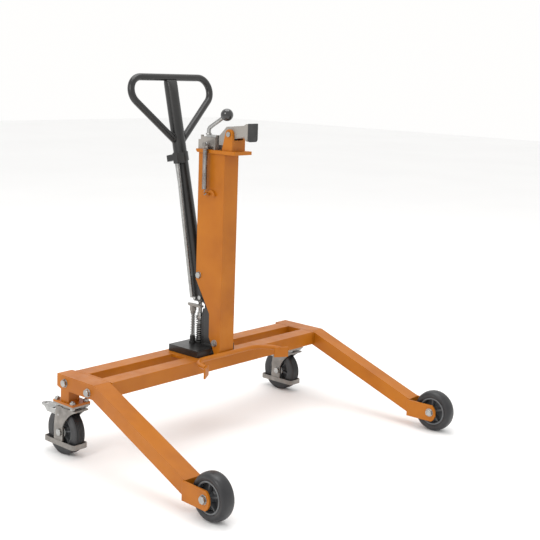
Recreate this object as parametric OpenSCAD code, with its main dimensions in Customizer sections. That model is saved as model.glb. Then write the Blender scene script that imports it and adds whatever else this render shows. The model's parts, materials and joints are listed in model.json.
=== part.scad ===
// Straddle drum truck: a wheeled frame with a hand pumped mast that grips a drum by its rim.
// X points from the operator towards the drum, Y to the operator's left and Z up.
// The floor is Z = 0 and the origin is under the middle of the truck.

/* [Frame] */
// Height of the top of the arms and crossbeams above the floor
frame_top = 225; // [215:1:240]
// Distance from the middle plane to the outer face of an arm at its bend
arm_out = 468; // [440:1:500]
// Width of an arm tube
arm_w = 50; // [44:1:56]
// Height of an arm tube
arm_h = 40; // [36:1:44]
// Wall of all square and rectangular tubes
tube_wall = 3; // [2:0.5:5]
// X position of the rear end of the arms
arm_rear = -284; // [-290:1:-280]
// X position where the arms bend downwards
bend_x = -128; // [-132:1:-124]
// Horizontal length of the sloping leg
leg_run = 369; // [350:1:390]
// Height of the top of the leg at its lower end
leg_end_top = 82.5; // [80:0.5:86]
// Outward splay of each leg, in degrees
splay = 3.2; // [2:0.1:5]
// Width of a crossbeam tube along X
beam_w = 50; // [44:1:54]
// X position of the front face of the front crossbeam
beam_front = -117; // [-119:1:-115]
// Gap between the two crossbeams
beam_gap = 54; // [48:1:58]

/* [Wheels] */
// Outer radius of the caster wheels
wheel_r = 63.5; // [62.5:0.5:64]
// Outer radius of the front wheels
front_r = 59.5; // [58.5:0.5:60.5]
// Width of a front tyre
front_tyre_w = 40; // [36:1:42]
// Width of a caster tyre
caster_tyre_w = 31; // [28:1:31]
// Distance along the leg from the bend to the front axle
axle_run = 442; // [440:1:446]
// Trail of the caster axle behind its swivel axis
caster_trail = 22; // [18:1:26]
// Diameter of the wheel bolts
axle_d = 12; // [10:1:12]

/* [Mast and carriage] */
// X position of the front face of the carriage column
col_front = -105; // [-107:1:-104]
// Depth of the carriage column along X
col_depth = 104; // [100:1:108]
// Width of the carriage column along Y
col_w = 57; // [56:1:60]
// Height of the top of the column
col_top = 812; // [800:1:825]
// Height of the underside of the column with the carriage down
col_bottom = 227; // [226.5:0.5:229]
// Side of the square inner mast
mast_side = 40; // [38:1:40]

/* [Pump handle] */
// Backward lean of the handle at rest, in degrees
lean = 13.5; // [12:0.5:15]
// Length of the handle tube from its socket to the hand bar
tube_len = 607; // [600:1:620]
// Diameter of the handle tube
tube_d = 40; // [38:1:40]
// Diameter of the hand loop
loop_d = 21; // [19:1:22]
// Half width of the hand loop between its centre lines
loop_half = 158; // [150:1:165]

/* [Rim clamp] */
// Height of the beak's pivot above the floor
pivot_z = 870; // [866:1:874]
// Width of the beak
beak_w = 36; // [34:1:36]
// Diameter of the ball knob
knob_d = 36; // [32:1:38]

/* [Hidden] */
$fn = 64;
gap = 0.4;                        // clearance between parts that move on each other
run = 0.05;                       // radial clearance of a running fit
steel = 6;                        // thickness of the welded plates
arm_mid = arm_out - arm_w / 2;
fall = (frame_top - leg_end_top) / leg_run;
leg_v = arm_h / cos(atan(fall));  // height of the leg's section on a vertical cut
leg_end = bend_x + leg_run;
arm_low = frame_top - arm_h;
fork_top = 81.5;
fork_low = 32.5;
axle_x = bend_x + axle_run;
beam_mid_f = beam_front - beam_w / 2;
beam_mid_r = beam_mid_f - beam_gap - beam_w;
beam_len = 2 * (arm_out - arm_w - 8);
base_x0 = -258;                   // pump base plate
base_x1 = -137;
base_near = -85;
base_far = 66;
base_t = 20;
base_top = frame_top + base_t;
col_rear = col_front - col_depth;
col_wall = 3;
mast_x = -158.5;                  // middle of the inner mast
mast_top = 796;
plate_t = 10;                     // top plate of the carriage
plate_top = col_top + plate_t;
head_x = -93;                     // pivot of the beak
ear_out = 26.5;
pump_pin = [-194.5, 0, 385];      // pivot of the pump handle
roller_x = -216.5;
roller_z = 381;
roller_r = 10;
plunger_top = roller_z - roller_r - gap;
cap_z = 317;                      // spring cap of the plunger
valve_h = 21;                     // height of the valve body
spindle_z = 334;                  // shoulder of the valve spindle
axis_x = -217.5;                  // handle axis at the height of the pivot
valve = [-224, -22, 0];
post_mid = [-250.5, arm_out - 18, 0];
caster_x = -251;
caster_y = arm_mid + 1;
caster_top = 147;                 // underside of the post's plate
brake_z = 110;                    // pivot of the brake pedal
front_bore = 40;                   // bore of a front tyre
guard_z = 26;                     // foot of the caster fork
hang_x = -168;                    // hook spring
hang_y = -43.6;
lever_x = -180;                   // knob lever
lever_y = -19;
bar_d = 14;                       // cradle bar
bar_x = -98;
bar_z = 233;
pad_x = -27;
pad_y = 155;
pad_turn = 32;
rod_d = 10.5;
loop_z = 48 + tube_len;           // the hand bar's distance along the handle from its pivot
rod_at = -34;                     // the release rod's distance from the middle plane
knob_rise = 30.5;                 // slope of the knob lever, in degrees
knob_bend = 12;                   // bend radius of the knob lever
lever_r = 5.75;
lever_seat = plate_top + 36;
lever_top = plate_top + 53.4;
arm_bolt_at = [[-250.5, 204.5], [-153.5, 200]];
guide_at = [[-197.5, 452], [-126, 262]];

orange = [0.80, 0.40, 0.11];
black = [0.10, 0.10, 0.10];
cast_grey = [0.55, 0.52, 0.49];
zinc = [0.74, 0.75, 0.76];
rubber = [0.07, 0.07, 0.07];
hub_grey = [0.22, 0.23, 0.23];

// ---------- shared shapes ----------

// A flat outline drawn in X and Z, thick from y0 to y1.
module slab_xz(y0, y1) {
    translate([0, y1, 0])
        rotate([90, 0, 0])
            linear_extrude(height = y1 - y0)
                children();
}

// A cylinder along Y, centred at p.
module rod_y(p, r, len) {
    translate(p)
        rotate([90, 0, 0])
            cylinder(r = r, h = len, center = true);
}

// A rectangle with round corners, as exact arcs.
module round_rect(w, h, r) {
    square([w - 2 * r, h], center = true);
    square([w, h - 2 * r], center = true);
    for (sx = [-1, 1], sy = [-1, 1])
        translate([sx * (w / 2 - r), sy * (h / 2 - r)])
            circle(r = r);
}

// A hexagon head with a domed face, standing on Z = 0.
module hex_head(flats, h) {
    intersection() {
        cylinder(d = flats / cos(30), h = h, $fn = 6);
        cylinder(r1 = flats * 0.66, r2 = flats * 0.48, h = h);
    }
}

// Children and their mirror image on the other side of the truck.
module both_sides() {
    children();
    mirror([0, 1, 0])
        children();
}

module side(left) {
    mirror([0, left ? 0 : 1, 0])
        children();
}

// Places the left leg's straight geometry on the splayed leg.
module on_leg() {
    translate([bend_x, arm_out, 0])
        rotate([0, 0, splay])
            translate([-bend_x, -arm_out, 0])
                children();
}

// Places geometry drawn about a vertical handle axis on the leaning handle.
module on_handle() {
    translate([axis_x, 0, pump_pin[2]])
        rotate([0, -lean, 0])
            children();
}

// Points of a helix of wire, as rings of a closed tube.
function coil_ring(a, r, pitch, wire, sides) =
    [for (k = [0 : sides - 1])
        let (b = 360 * k / sides, q = r + wire / 2 * cos(b))
            [q * cos(a), q * sin(a), pitch * a / 360 + wire / 2 * sin(b)]];

module coil(r, wire, turns, pitch, steps = 18, sides = 6) {
    n = turns * steps;
    rings = [for (i = [0 : n]) coil_ring(360 * i / steps, r, pitch, wire, sides)];
    pts = [for (ring = rings, p = ring) p];
    walls = [for (i = [0 : n - 1], k = [0 : sides - 1])
        let (a = i * sides + k, b = i * sides + (k + 1) % sides)
            [a, a + sides, b + sides, b]];
    ends = [[for (k = [0 : sides - 1]) k], [for (k = [sides - 1 : -1 : 0]) n * sides + k]];
    polyhedron(points = pts, faces = concat(walls, ends), convexity = 8);
}

// ---------- frame ----------

module crossbeam(mid) {
    color(orange)
        difference() {
            translate([mid - beam_w / 2, -beam_len / 2, arm_low])
                cube([beam_w, beam_len, arm_h]);
            translate([mid - beam_w / 2 + tube_wall, -beam_len / 2 - 1, arm_low + tube_wall])
                cube([beam_w - 2 * tube_wall, beam_len + 2, arm_h - 2 * tube_wall]);
        }
}

// Plate under the mast and the two plates that close the ends of the crossbeams.
module frame_plates() {
    x0 = beam_mid_r - beam_w / 2;
    len = beam_front - x0;
    color(orange) {
        translate([beam_mid_r + beam_w / 2, -105, frame_top - 8])
            cube([beam_gap, 210, 8]);
        both_sides()
            difference() {
                translate([x0, beam_len / 2, arm_low])
                    cube([len, 7, arm_h]);
                arm_bolt_axes(6.6);
            }
    }
}

// Axes of the two bolts that hold the left arm.
module arm_bolt_axes(r) {
    for (p = arm_bolt_at)
        rod_y([p[0], arm_out - 20, p[1]], r, 120);
}

module arm_outline(t, end_x) {
    polygon([[arm_rear + t, frame_top - t], [end_x, frame_top - t], [end_x, arm_low + t],
             [arm_rear + 18 + t, arm_low + t], [arm_rear + t, arm_low + 6 + t]]);
}

// The leg starts a hair inside the rear section, so that their faces never coincide.
module leg_outline(t, start) {
    drop = t / cos(atan(fall));
    inset = 0.4 + t;
    far = leg_end - t;
    slope_top = leg_end_top + fall * t - drop;
    top_x = far - (frame_top - inset - slope_top) / fall;
    low_x = far - (arm_low + inset - (slope_top + 2 * drop - leg_v)) / fall;
    polygon([[bend_x - start, frame_top - inset], [top_x, frame_top - inset], [far, slope_top],
             [far, slope_top + 2 * drop - leg_v], [low_x, arm_low + inset],
             [bend_x - start, arm_low + inset]]);
}

module arm() {
    color(orange)
        difference() {
            union() {
                slab_xz(arm_out - arm_w, arm_out)
                    arm_outline(0, bend_x - 1);
                on_leg()
                    slab_xz(arm_out - arm_w, arm_out)
                        leg_outline(0, 12);
            }
            slab_xz(arm_out - arm_w + tube_wall, arm_out - tube_wall)
                arm_outline(tube_wall, bend_x - 15);
            on_leg()
                slab_xz(arm_out - arm_w + tube_wall, arm_out - tube_wall)
                    leg_outline(tube_wall, 8);
            arm_bolt_axes(6.6);
        }
}

// Front fork plate outline with its shallow round nose and axle hole.
module fork_outline(hole) {
    half = (fork_top - fork_low) / 2;
    nose_r = 30;
    nose_x = axle_x + 19 - nose_r;
    difference() {
        union() {
            translate([leg_end - 5, fork_low])
                square([nose_x + 6 - leg_end + 5, 2 * half]);
            intersection() {
                translate([nose_x, fork_low + half])
                    circle(r = nose_r);
                translate([nose_x, fork_low])
                    square([nose_r + 1, 2 * half]);
            }
        }
        translate([axle_x, front_r])
            circle(r = hole);
    }
}

module fork_plates() {
    color(orange)
        both_sides()
            on_leg() {
                slab_xz(arm_out, arm_out + steel)
                    fork_outline(axle_d / 2 + 0.1);
                slab_xz(arm_out - arm_w - steel, arm_out - arm_w)
                    fork_outline(axle_d / 2 + 0.1);
            }
}

// Square post and bolting plate that carry a caster.
module caster_posts() {
    color(orange)
        both_sides() {
            difference() {
                translate([post_mid[0] - 17, arm_out - 36, caster_top + steel - 0.5])
                    cube([34, 36, arm_low - caster_top - steel + 0.5]);
                translate([post_mid[0] - 14, arm_out - 33, caster_top])
                    cube([28, 30, arm_low - caster_top + 1]);
            }
            difference() {
                translate([caster_x - 42, caster_y - 30, caster_top])
                    cube([84, 60, steel]);
                caster_bolt_axes()
                    translate([0, 0, -10])
                        cylinder(r = 4.4, h = 30);
            }
        }
}

module caster_bolt_axes() {
    for (dx = [-33, 33], dy = [-22.5, 22.5])
        translate([caster_x + dx, caster_y + dy, caster_top])
            children();
}

module arm_bolts() {
    color(zinc)
        both_sides()
            for (p = arm_bolt_at) {
                rod_y([p[0], arm_out - 28, p[1]], 6, 56);
                translate([p[0], arm_out, p[1]])
                    rotate([-90, 0, 0]) {
                        cylinder(r = 11.5, h = 1.6);
                        translate([0, 0, 1.6])
                            hex_head(18, 7);
                    }
            }
}

module caster_bolts() {
    color(zinc)
        both_sides()
            caster_bolt_axes() {
                translate([0, 0, -9])
                    cylinder(r = 4, h = 9 + steel + 9);
                translate([0, 0, steel])
                    hex_head(13, 6);
                translate([0, 0, -10])
                    hex_head(13, 4.8);
            }
}

module pump_base() {
    color(black)
        translate([base_x0, base_near, frame_top])
            cube([base_x1 - base_x0, base_far - base_near, base_t]);
}

module inner_mast() {
    color(black)
        difference() {
            union() {
                translate([mast_x - mast_side / 2, -mast_side / 2, base_top])
                    cube([mast_side, mast_side, mast_top - base_top]);
                translate([mast_x - mast_side / 2 - 6, -mast_side / 2 - 4, base_top])
                    cube([mast_side + 4, mast_side + 8, 7]);
            }
            translate([mast_x - mast_side / 2 + 3, -mast_side / 2 + 3, base_top + 7])
                cube([mast_side - 6, mast_side - 6, mast_top]);
        }
}

module lift_cylinder() {
    color(zinc)
        difference() {
            translate([mast_x, 0, base_top + 7])
                cylinder(r = 16, h = 313);
            translate([mast_x, 0, base_top + 25])
                cylinder(r = 9 + run, h = 400);
        }
}

module front_axles() {
    color(zinc)
        both_sides()
            on_leg() {
                rod_y([axle_x, arm_mid, front_r], axle_d / 2, arm_w + 2 * steel + 12);
                translate([axle_x, arm_out + steel, front_r])
                    rotate([-90, 0, 0])
                        hex_head(19, 8);
                translate([axle_x, arm_out - arm_w - steel, front_r])
                    rotate([90, 0, 0])
                        hex_head(19, 8);
            }
}

// ---------- hydraulic pump ----------

module pump_body() {
    color(black)
        difference() {
            union() {
                translate([roller_x, 0, base_top])
                    cylinder(r = 19, h = 5);
                translate([roller_x, 0, base_top + 5])
                    cylinder(r = 8.5, h = 50);
                translate([valve[0], valve[1], base_top])
                    cylinder(r = 8.3, h = valve_h);
                translate([valve[0] - 6, valve[1], base_top])
                    cube([14, 20, 5]);
                slab_xz(-9, 17)
                    polygon([[-202, base_top], [-185, base_top], [-185, base_top + 8],
                             [-179, base_top + 8], [-179, base_top + 105],
                             [-196, base_top + 105], [-202, base_top + 70]]);
            }
            translate([roller_x, 0, base_top + 2])
                cylinder(r = 6 + run, h = 60);
            translate([valve[0], valve[1], base_top + 3])
                cylinder(r = 3.5 + run, h = 40);
        }
}

// Spring loaded plunger that the handle's roller pushes down.
module pump_plunger() {
    color(zinc) {
        translate([roller_x, 0, base_top + 14])
            cylinder(r = 6, h = plunger_top - base_top - 14);
        translate([roller_x, 0, cap_z])
            cylinder(r = 12.8, h = 8);
        translate([roller_x, 0, cap_z + 8])
            cylinder(r = 9, h = 9);
        translate([roller_x, 0, plunger_top - 6])
            cylinder(r = 8.5, h = 6);
    }
}

module pump_spring() {
    z0 = base_top + 5 + 2;
    z1 = cap_z - 2.2;
    turns = 11;
    color(zinc)
        translate([roller_x, 0, z0])
            coil(10.9, 3, turns, (z1 - z0) / turns);
}

module release_spring() {
    z0 = base_top + valve_h + 1.4;
    z1 = spindle_z - 1.4;
    turns = 13;
    color(zinc)
        translate([valve[0], valve[1], z0])
            coil(6.6, 2, turns, (z1 - z0) / turns, 16);
}

// Spindle, nut and pointed lever plate of the lowering valve.
module release_lever() {
    color(cast_grey)
        translate([valve[0], valve[1], 0]) {
            translate([0, 0, base_top + 17])
                cylinder(r = 3.5, h = spindle_z - base_top - 17);
            translate([0, 0, spindle_z])
                cylinder(r = 8, h = 7);
            translate([0, 0, spindle_z + 7])
                cylinder(d = 21, h = 15, $fn = 6);
            translate([0, 0, spindle_z + 22])
                linear_extrude(height = 6)
                    polygon([[-21, 3], [-21, -3], [-8, -10], [39, -9], [39, 5], [-8, 7]]);
        }
}

// Two lugs on the mast that hold the handle's pivot pin.
module pump_yoke() {
    x1 = mast_x - mast_side / 2;
    color(black)
        for (s = [-1, 1])
            difference() {
                union() {
                    slab_xz(s * 14 - 4, s * 14 + 4)
                        polygon([[pump_pin[0], pump_pin[2] - 11], [x1, pump_pin[2] - 20],
                                 [x1, pump_pin[2] + 20], [pump_pin[0], pump_pin[2] + 11]]);
                    rod_y([pump_pin[0], s * 14, pump_pin[2]], 11, 8);
                }
                rod_y([pump_pin[0], s * 14, pump_pin[2]], 6 + run, 20);
            }
}

module handle_pin() {
    color(zinc)
        translate([0, 0, pump_pin[2]]) {
            rod_y([pump_pin[0], 0, 0], 6, 50.4);
            for (s = [-1, 1])
                rod_y([pump_pin[0], s * 26.6, 0], 6, 3);
        }
}

// ---------- casters ----------

module caster_heads() {
    color(cast_grey)
        both_sides()
            difference() {
                translate([caster_x, caster_y, 0]) {
                    translate([-42, -30, caster_top - 5])
                        cube([84, 60, 5]);
                    translate([0, 0, caster_top - 12])
                        cylinder(r = 24, h = 7.5);
                    translate([0, 0, caster_top - 19])
                        cylinder(r = 6, h = 15);
                }
                caster_bolt_axes()
                    translate([0, 0, -20])
                        cylinder(r = 4.4, h = 30);
            }
}

function caster_axle_x() = caster_x - caster_trail;

module swivel_fork() {
    crown_top = caster_top - 12 - gap;
    crown_t = 5;
    z1 = crown_top - crown_t;
    ax = caster_axle_x();
    color(cast_grey)
        difference() {
            union() {
                translate([caster_x, caster_y, z1])
                    cylinder(r = 26, h = crown_t);
                translate([ax - 14, caster_y - 22.5, z1])
                    cube([caster_x - ax + 56, 45, crown_t]);
                for (s = [-1, 1])
                    slab_xz(caster_y + s * 20.5 - 2, caster_y + s * 20.5 + 2) {
                        difference() {
                            polygon([[ax - 25, 84], [ax - 17, crown_top], [caster_x + 44, crown_top],
                                     [caster_x + 44, z1 - 4], [ax + 11, 80]]);
                            translate([caster_x + 79, 40])
                                circle(r = 98);
                        }
                        polygon([[ax - 25, guard_z + 1], [ax - 25, 84], [ax + 11, 80],
                                 [ax + 11, guard_z + 1]]);
                    }
            }
            translate([caster_x, caster_y, z1 - 1])
                cylinder(r = 6 + run, h = 20);
            rod_y([ax, caster_y, wheel_r], axle_d / 2, 80);
            rod_y([ax - 8, caster_y, brake_z], 3 + run, 80);
        }
}

// Flat band round the wheel, welded to the feet of the fork.
module toe_guard() {
    color(cast_grey)
        translate([caster_axle_x() - 2, caster_y, guard_z])
            linear_extrude(height = 14)
                difference() {
                    round_rect(131, 51, 10);
                    round_rect(125, 45, 7);
                }
}

module caster_axle() {
    ax = caster_axle_x();
    color(zinc) {
        rod_y([ax, caster_y, wheel_r], axle_d / 2, 58);
        for (s = [-1, 1]) {
            translate([ax, caster_y + s * 22.5, wheel_r])
                rotate([-90 * s, 0, 0])
                    hex_head(18, 7);
            translate([ax, caster_y + s * 17.2 , wheel_r])
                rotate([-90 * s, 0, 0])
                    difference() {
                        cylinder(r = 9, h = 1.3);
                        translate([0, 0, -1])
                            cylinder(r = axle_d / 2, h = 4);
                    }
        }
    }
}

// A rubber tyre: rounded shoulders and grooves around the tread.
module tyre(width, bore_r, grooves) {
    shoulder = 8;
    rotate([90, 0, 0])
        rotate_extrude($fn = 128)
            difference() {
                translate([bore_r, -width / 2])
                    square([wheel_r - bore_r, width]);
                for (s = [-1, 1])
                    translate([wheel_r - shoulder, s * (width / 2 - shoulder)])
                        difference() {
                            translate([0, s > 0 ? 0 : -shoulder - 1])
                                square([shoulder + 1, shoulder + 1]);
                            circle(r = shoulder);
                        }
                for (i = [0 : 1 : grooves - 1])
                    translate([wheel_r - 1.6, (i - (grooves - 1) / 2) * 4.4 - 0.7])
                        square([3, 1.4]);
            }
}

// Ribbed hub: rim ring, web, boss and spokes.
module hub(width, rim_r, boss_r, spokes) {
    rotate([90, 0, 0])
        difference() {
            union() {
                difference() {
                    cylinder(r = rim_r, h = width - 6, center = true, $fn = 128);
                    cylinder(r = rim_r - 4.5, h = width, center = true, $fn = 128);
                }
                cylinder(r = rim_r - 1, h = 7, center = true, $fn = 128);
                cylinder(r = boss_r, h = width, center = true);
                for (i = [0 : spokes - 1])
                    rotate([0, 0, 360 * i / spokes])
                        translate([0, -2.2, -(width - 10) / 2])
                            cube([rim_r - 2, 4.4, width - 10]);
            }
            cylinder(r = axle_d / 2 + run, h = width + 2, center = true);
        }
}

module caster_tyre() {
    color(rubber)
        translate([caster_axle_x(), caster_y, wheel_r])
            tyre(caster_tyre_w, 40, 5);
}

module caster_hub() {
    color(hub_grey)
        translate([caster_axle_x(), caster_y, wheel_r])
            hub(33, 40, 12, 6);
}

// Foot pedal behind the tyre: a tread plate on two side plates that turn on stubs in the fork.
module brake_pedal() {
    ax = caster_axle_x();
    z = brake_z + 7;
    tip = 102;
    root = 42;
    arm_y = 17.1;
    color(zinc) {
        difference() {
            union() {
                translate([ax - tip + 15, caster_y - 15, z])
                    cube([tip - root - 15, 30, 3.5]);
                translate([ax - tip + 15, caster_y, z])
                    cylinder(r = 15, h = 3.5);
                translate([ax - 76, caster_y - arm_y - 1, z])
                    cube([76 - root, 2 * arm_y + 2, 3.5]);
            }
            translate([ax - tip + 16, caster_y, z - 3])
                cylinder(r = 7, h = 12);
        }
        for (s = [-1, 1]) {
            slab_xz(caster_y + s * arm_y - 1, caster_y + s * arm_y + 1)
                polygon([[ax - 77, z + 3.5], [ax - 63, z - 11], [ax - 30, z - 11],
                         [ax - 14, brake_z - 6], [ax - 2, brake_z], [ax - 8, brake_z + 7],
                         [ax - 26, z + 3.5]]);
            rod_y([ax - 8, caster_y + s * 19.4, brake_z], 3, 6.4);
        }
    }
}

// ---------- front wheels ----------

module front_tyre() {
    bore = front_bore;
    color(rubber)
        on_leg()
            translate([axle_x, arm_mid, front_r])
                rotate([90, 0, 0])
                    rotate_extrude($fn = 128)
                        difference() {
                            union() {
                                translate([bore, -front_tyre_w / 2])
                                    square([front_r - bore - 12, front_tyre_w]);
                                translate([front_r - 12.5, -front_tyre_w / 2 + 12])
                                    square([12.5, front_tyre_w - 24]);
                                for (s = [-1, 1])
                                    translate([front_r - 12, s * (front_tyre_w / 2 - 12)])
                                        circle(r = 12);
                            }
                            translate([0, -front_tyre_w])
                                square([bore, 2 * front_tyre_w]);
                            for (s = [-1, 1])
                                translate([bore + 3.5, s * front_tyre_w / 2])
                                    circle(r = 1.8);
                        }
}

module front_hub() {
    color(hub_grey)
        on_leg()
            translate([axle_x, arm_mid, front_r])
                hub(arm_w - 4, front_bore, 13, 5);
}

// ---------- carriage ----------

// Side of the column, with the cut that clears the pump.
module column_side() {
    polygon([[col_rear, 439], [col_rear, col_top], [col_front, col_top], [col_front, col_bottom],
             [-126, col_bottom], [-135, base_top + 3], [-150, 276], [-151, 345]]);
}

module column() {
    color(orange)
        difference() {
            slab_xz(-col_w / 2, col_w / 2)
                column_side();
            translate([col_rear - 5, -col_w / 2 + col_wall, col_bottom - 5])
                cube([col_depth + 5 - col_wall, col_w - 2 * col_wall, col_top]);
            guide_holes(5.1);
        }
}

// Axes of the upper rear and lower front guide bolts.
module guide_holes(r) {
    for (p = guide_at)
        rod_y([p[0], 0, p[1]], r, 90);
}

module top_plate() {
    color(orange)
        difference() {
            translate([-214.5, -35.5, col_top])
                cube([154, 71, plate_t]);
            rod_y([-214.5, 0, col_top], 4, 90);
        }
}

module ear_outline() {
    r = 14;
    difference() {
        union() {
            translate([head_x, pivot_z])
                circle(r = r);
            polygon([[head_x - r, pivot_z + 2], [head_x + r, pivot_z + 2],
                     [head_x + r, plate_top], [-119.5, plate_top]]);
        }
        translate([head_x, pivot_z])
            circle(r = 5.1);
    }
}

// Folded bracket: two ears and a front web.
module pivot_bracket() {
    color(orange) {
        for (s = [-1, 1])
            slab_xz(s * (ear_out - 4) - 4, s * (ear_out - 4) + 4)
                ear_outline();
        translate([head_x + 8, -ear_out + 1, plate_top])
            cube([6, 2 * ear_out - 2, 31]);
    }
}

// Round bar along the foot of the column, bent forward at both ends to the pads.
module cradle_bar() {
    r = 60;
    bend = 72;
    y0 = 90;
    ye = y0 + r * sin(bend);
    xe = bar_x + r * (1 - cos(bend));
    color(orange) {
        rod_y([bar_x, 0, bar_z], bar_d / 2, 2 * y0);
        both_sides() {
            translate([bar_x + r, y0, bar_z])
                rotate([0, 0, 180 - bend])
                    rotate_extrude(angle = bend, $fn = 96)
                        translate([r, 0])
                            circle(d = bar_d);
            difference() {
                translate([xe, ye, bar_z])
                    rotate([0, 0, 90 - bend])
                        translate([-2, 0, 0])
                            rotate([0, 90, 0])
                                cylinder(d = bar_d - 0.2, h = 44);
                translate([pad_x, pad_y, bar_z])
                    rotate([0, 0, -pad_turn])
                        translate([-5, -40, -20])
                            cube([60, 80, 40]);
            }
        }
    }
}

// Flat pads that lie against the drum.
module cradle_pads() {
    color(orange)
        both_sides()
            translate([pad_x, pad_y, bar_z - 10])
                rotate([0, 0, -pad_turn])
                    translate([-5, -21.5, -15])
                        cube([5, 43, 30]);
}

module guide_blocks() {
    inner = col_w - 2 * col_wall - 1;
    mast_rear = mast_x - mast_side / 2;
    mast_front = mast_x + mast_side / 2;
    color(black)
        difference() {
            union() {
                translate([mast_rear - gap - 26, -inner / 2, guide_at[0][1] - 10])
                    cube([26, inner, 20]);
                translate([mast_front + gap, -inner / 2, guide_at[1][1] - 10])
                    cube([28, inner, 20]);
            }
            guide_holes(5.1);
        }
}

module guide_bolts() {
    color(zinc)
        for (p = guide_at) {
            rod_y([p[0], 0, p[1]], 5, col_w + 4);
            for (s = [-1, 1])
                translate([p[0], s * col_w / 2, p[1]])
                    rotate([-90 * s, 0, 0])
                        hex_head(17, 6);
        }
}

// Half ring on the column with a peg for the lower end of the hook spring.
module spring_lug() {
    x = -153;
    z = 690;
    color(orange) {
        slab_xz(-col_w / 2 - 6, -col_w / 2)
            difference() {
                translate([x, z])
                    circle(r = 17);
                translate([x, z])
                    circle(r = 9);
                translate([x - 20, z - 20])
                    square([40, 20]);
            }
        rod_y([-166, -40, 697], 2.5, 14);
    }
}

// Close wound extension spring, drawn as touching rings.
module hook_spring() {
    z0 = 708;
    z1 = 825;
    wire = 3;
    n = floor((z1 - z0) / wire);
    color(zinc)
        translate([hang_x, hang_y, z0]) {
            rotate_extrude($fn = 48)
                translate([6, 0]) {
                    for (i = [0 : n - 1])
                        translate([0, i * wire + wire / 2])
                            circle(d = wire + 0.1, $fn = 16);
                    translate([-1.4, 0.5])
                        square([1.6, n * wire - 1]);
                }
            for (end = [0.5, n * wire - 2.5])
                translate([0, 0, end])
                    cylinder(r = 6, h = 2);
            translate([0, 0, -8.4])
                cylinder(r = 1.4, h = 11);
            translate([0, 0, n * wire - 4])
                cylinder(r = 1.4, h = 11);
        }
}

// Piston rod of the lift cylinder, which pushes the top plate up.
module ram() {
    color(zinc)
        translate([mast_x, 0, base_top + 30])
            cylinder(r = 9, h = col_top - base_top - 30);
}

// Grey casting at the rear of the top plate, with the lever's seat and the spring's bolt.
module clamp_housing() {
    color(cast_grey)
        difference() {
            union() {
                translate([-214, -27, plate_top])
                    cube([62, 46, 27]);
                translate([-204, -27, plate_top])
                    cube([58, 38, 35.6]);
                translate([-207, -18, plate_top])
                    cylinder(r = 4.5, h = 40);
                rod_y([hang_x, -36, plate_top + 15], 4.5, 24);
                translate([hang_x, -48, plate_top + 15])
                    rotate([90, 0, 0])
                        cylinder(r = 6.5, h = 3);
            }
            translate([hang_x - 8, -28, plate_top - 1])
                cube([24, 12, 10]);
            translate([lever_x, lever_y, plate_top + 8])
                cylinder(r = 6 + run, h = 40);
            translate([-147, -8, plate_top - 1])
                cylinder(r = 3.5 + run, h = 60);
        }
}

module beak_pin() {
    color(zinc) {
        rod_y([head_x, 0, pivot_z], 5, 2 * ear_out + 4);
        for (s = [-1, 1])
            translate([head_x, s * ear_out, pivot_z])
                rotate([-90 * s, 0, 0])
                    hex_head(14, 5);
    }
}

// ---------- beak and knob lever ----------

module beak() {
    color(cast_grey)
        difference() {
            translate([head_x, 0, pivot_z])
                slab_xz(-beak_w / 2, beak_w / 2)
                    difference() {
                        union() {
                            polygon([[-47, -33], [-47, -8], [-18, 20], [-13, 21], [-1, 18], [11, 23],
                                     [49, 27], [57, 32], [64, 32], [64, -17], [57, -17],
                                     [50.5, -4], [17, -12], [-7, -14], [-29, -33]]);
                            circle(r = 13);
                        }
                        circle(r = 5 + run);
                    }
            jaw_corners(54, 12);
        }
}

// Cuts that round the two lower corners of the beak's front plate, starting at x past the pivot.
module jaw_corners(x, len) {
    for (s = [-1, 1])
        translate([head_x + x, s * (beak_w / 2 - 8), pivot_z - 10])
            rotate([0, 90, 0])
                difference() {
                    translate([0, s > 0 ? 0 : -10, 0])
                        cube([10, 10, len]);
                    translate([0, 0, -1])
                        cylinder(r = 8, h = len + 2);
                }
}

// Hard rubber facing of the beak's front plate, which bears on the inside of the drum's rim.
module jaw_pad() {
    color([0.25, 0.25, 0.25])
        difference() {
            translate([head_x + 64, -beak_w / 2, pivot_z - 18])
                cube([6, beak_w, 51.5]);
            jaw_corners(62, 10);
        }
}

// Bent rod with a hub plate; it turns on the clamp housing.
module knob_lever() {
    r = knob_bend;
    color(zinc) {
        translate([lever_x, lever_y, plate_top + 12])
            cylinder(r = 6, h = lever_seat - plate_top - 12);
        translate([lever_x + 18, lever_y, lever_seat])
            linear_extrude(height = 6)
                round_rect(40, 22, 6);
        translate([lever_x, lever_y, lever_seat])
            cylinder(r = lever_r, h = lever_top - lever_seat);
        translate([lever_x + r, lever_y, lever_top])
            rotate([90, 0, 0])
                rotate([0, 0, 90 + knob_rise])
                    rotate_extrude(angle = 90 - knob_rise)
                        translate([r, 0])
                            circle(r = lever_r);
        translate([lever_x + r - r * sin(knob_rise), lever_y, lever_top + r * cos(knob_rise)])
            rotate([0, 90 - knob_rise, 0])
                cylinder(r = lever_r, h = 64);
    }
}

module ball_knob() {
    r = knob_bend;
    reach = 75;
    x = lever_x + r - r * sin(knob_rise);
    z = lever_top + r * cos(knob_rise);
    color(black)
        difference() {
            translate([x + reach * cos(knob_rise), lever_y, z + reach * sin(knob_rise)])
                sphere(d = knob_d);
            translate([x, lever_y, z])
                rotate([0, 90 - knob_rise, 0])
                    cylinder(r = lever_r, h = 64.2);
        }
}

module latch_pin() {
    color(hub_grey)
        translate([-147, -8, plate_top + 1])
            cylinder(r = 3.5, h = 30);
}

// ---------- handle ----------

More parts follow.
